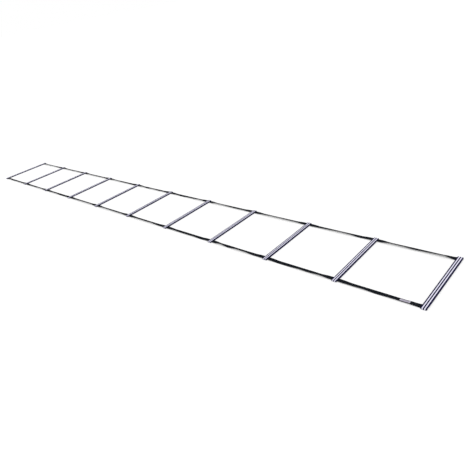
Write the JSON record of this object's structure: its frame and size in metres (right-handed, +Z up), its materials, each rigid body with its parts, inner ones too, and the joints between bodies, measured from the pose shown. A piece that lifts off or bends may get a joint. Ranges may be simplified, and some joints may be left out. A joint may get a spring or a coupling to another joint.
{
  "type": "agility ladder",
  "caption": "Flat agility ladder: navy plastic slats with pale inlaid bands, threaded on two black webbing straps, that folds rung over rung.",
  "frame": {"origin": "on the floor under the middle of the ladder, which is the middle of rung 06", "axes": "+X along the ladder towards rung 01, +Y across it towards the far webbing, +Z up from the floor"},
  "size_m": [4.529, 0.467, 0.0144],
  "materials": {
    "navy_slat": "moulded navy plastic, satin",
    "pale_inlay": "pale lilac-white soft plastic, satin",
    "black_webbing": "black woven polypropylene webbing",
    "woven_label": "bare grey-lilac woven label"
  },
  "bodies": {
    "link_01": {"rung_01": "navy_slat", "inlay_01_front": "pale_inlay", "inlay_01_back": "pale_inlay", "near_strap_01": "black_webbing", "far_strap_01": "black_webbing", "sewn_label": "woven_label"},
    "link_02": {"near_strap_02": "black_webbing", "far_strap_02": "black_webbing"},
    "sliding_rung_02": {"rung_02": "navy_slat", "inlay_02_front": "pale_inlay", "inlay_02_back": "pale_inlay"},
    "link_03": {"near_strap_03": "black_webbing", "far_strap_03": "black_webbing"},
    "sliding_rung_03": {"rung_03": "navy_slat", "inlay_03_front": "pale_inlay", "inlay_03_back": "pale_inlay"},
    "link_04": {"near_strap_04": "black_webbing", "far_strap_04": "black_webbing"},
    "sliding_rung_04": {"rung_04": "navy_slat", "inlay_04_front": "pale_inlay", "inlay_04_back": "pale_inlay"},
    "link_05": {"near_strap_05": "black_webbing", "far_strap_05": "black_webbing"},
    "sliding_rung_05": {"rung_05": "navy_slat", "inlay_05_front": "pale_inlay", "inlay_05_back": "pale_inlay"},
    "link_06": {"near_strap_06": "black_webbing", "far_strap_06": "black_webbing"},
    "sliding_rung_06": {"rung_06": "navy_slat", "inlay_06_front": "pale_inlay", "inlay_06_back": "pale_inlay"},
    "link_07": {"near_strap_07": "black_webbing", "far_strap_07": "black_webbing"},
    "sliding_rung_07": {"rung_07": "navy_slat", "inlay_07_front": "pale_inlay", "inlay_07_back": "pale_inlay"},
    "link_08": {"near_strap_08": "black_webbing", "far_strap_08": "black_webbing"},
    "sliding_rung_08": {"rung_08": "navy_slat", "inlay_08_front": "pale_inlay", "inlay_08_back": "pale_inlay"},
    "link_09": {"near_strap_09": "black_webbing", "far_strap_09": "black_webbing"},
    "sliding_rung_09": {"rung_09": "navy_slat", "inlay_09_front": "pale_inlay", "inlay_09_back": "pale_inlay"},
    "link_10": {"near_strap_10": "black_webbing", "far_strap_10": "black_webbing"},
    "sliding_rung_10": {"rung_10": "navy_slat", "inlay_10_front": "pale_inlay", "inlay_10_back": "pale_inlay"},
    "link_11": {"rung_11": "navy_slat", "inlay_11_front": "pale_inlay", "inlay_11_back": "pale_inlay", "near_strap_11": "black_webbing", "far_strap_11": "black_webbing"}
  },
  "joints": [
    {"name": "fold_01", "type": "hinge", "parent": "link_02", "child": "link_01", "pos_m": [2.025, 0, 0.01349], "axis": [0, -1, 0], "range_deg": [0, 179.9]},
    {"name": "fold_02", "type": "hinge", "parent": "link_03", "child": "link_02", "pos_m": [1.575, 0, 0.02048], "axis": [0, -1, 0], "range_deg": [0, 179.9]},
    {"name": "fold_03", "type": "hinge", "parent": "link_04", "child": "link_03", "pos_m": [1.125, 0, 0.02747], "axis": [0, -1, 0], "range_deg": [0, 179.9]},
    {"name": "fold_04", "type": "hinge", "parent": "link_05", "child": "link_04", "pos_m": [0.675, 0, 0.03447], "axis": [0, -1, 0], "range_deg": [0, 179.9]},
    {"name": "fold_05", "type": "hinge", "parent": "link_06", "child": "link_05", "pos_m": [0.225, 0, 0.04146], "axis": [0, -1, 0], "range_deg": [0, 179.9]},
    {"name": "fold_06", "type": "hinge", "parent": "link_06", "child": "link_07", "pos_m": [-0.225, 0, 0.07642], "axis": [0, 1, 0], "range_deg": [0, 179.9]},
    {"name": "fold_07", "type": "hinge", "parent": "link_07", "child": "link_08", "pos_m": [-0.675, 0, 0.03447], "axis": [0, 1, 0], "range_deg": [0, 179.9]},
    {"name": "fold_08", "type": "hinge", "parent": "link_08", "child": "link_09", "pos_m": [-1.125, 0, 0.02747], "axis": [0, 1, 0], "range_deg": [0, 179.9]},
    {"name": "fold_09", "type": "hinge", "parent": "link_09", "child": "link_10", "pos_m": [-1.575, 0, 0.02048], "axis": [0, 1, 0], "range_deg": [0, 179.9]},
    {"name": "fold_10", "type": "hinge", "parent": "link_10", "child": "link_11", "pos_m": [-2.025, 0, 0.01349], "axis": [0, 1, 0], "range_deg": [0, 179.9]},
    {"name": "rung_slide_02", "type": "slide", "parent": "link_02", "child": "sliding_rung_02", "axis": [1, 0, 0], "range_m": [-0.02, 0.02]},
    {"name": "rung_slide_03", "type": "slide", "parent": "link_03", "child": "sliding_rung_03", "axis": [1, 0, 0], "range_m": [-0.02, 0.02]},
    {"name": "rung_slide_04", "type": "slide", "parent": "link_04", "child": "sliding_rung_04", "axis": [1, 0, 0], "range_m": [-0.02, 0.02]},
    {"name": "rung_slide_05", "type": "slide", "parent": "link_05", "child": "sliding_rung_05", "axis": [1, 0, 0], "range_m": [-0.02, 0.02]},
    {"name": "rung_slide_06", "type": "slide", "parent": "link_06", "child": "sliding_rung_06", "axis": [1, 0, 0], "range_m": [-0.02, 0.02]},
    {"name": "rung_slide_07", "type": "slide", "parent": "link_07", "child": "sliding_rung_07", "axis": [1, 0, 0], "range_m": [-0.02, 0.02]},
    {"name": "rung_slide_08", "type": "slide", "parent": "link_08", "child": "sliding_rung_08", "axis": [1, 0, 0], "range_m": [-0.02, 0.02]},
    {"name": "rung_slide_09", "type": "slide", "parent": "link_09", "child": "sliding_rung_09", "axis": [1, 0, 0], "range_m": [-0.02, 0.02]},
    {"name": "rung_slide_10", "type": "slide", "parent": "link_10", "child": "sliding_rung_10", "axis": [1, 0, 0], "range_m": [-0.02, 0.02]}
  ]
}
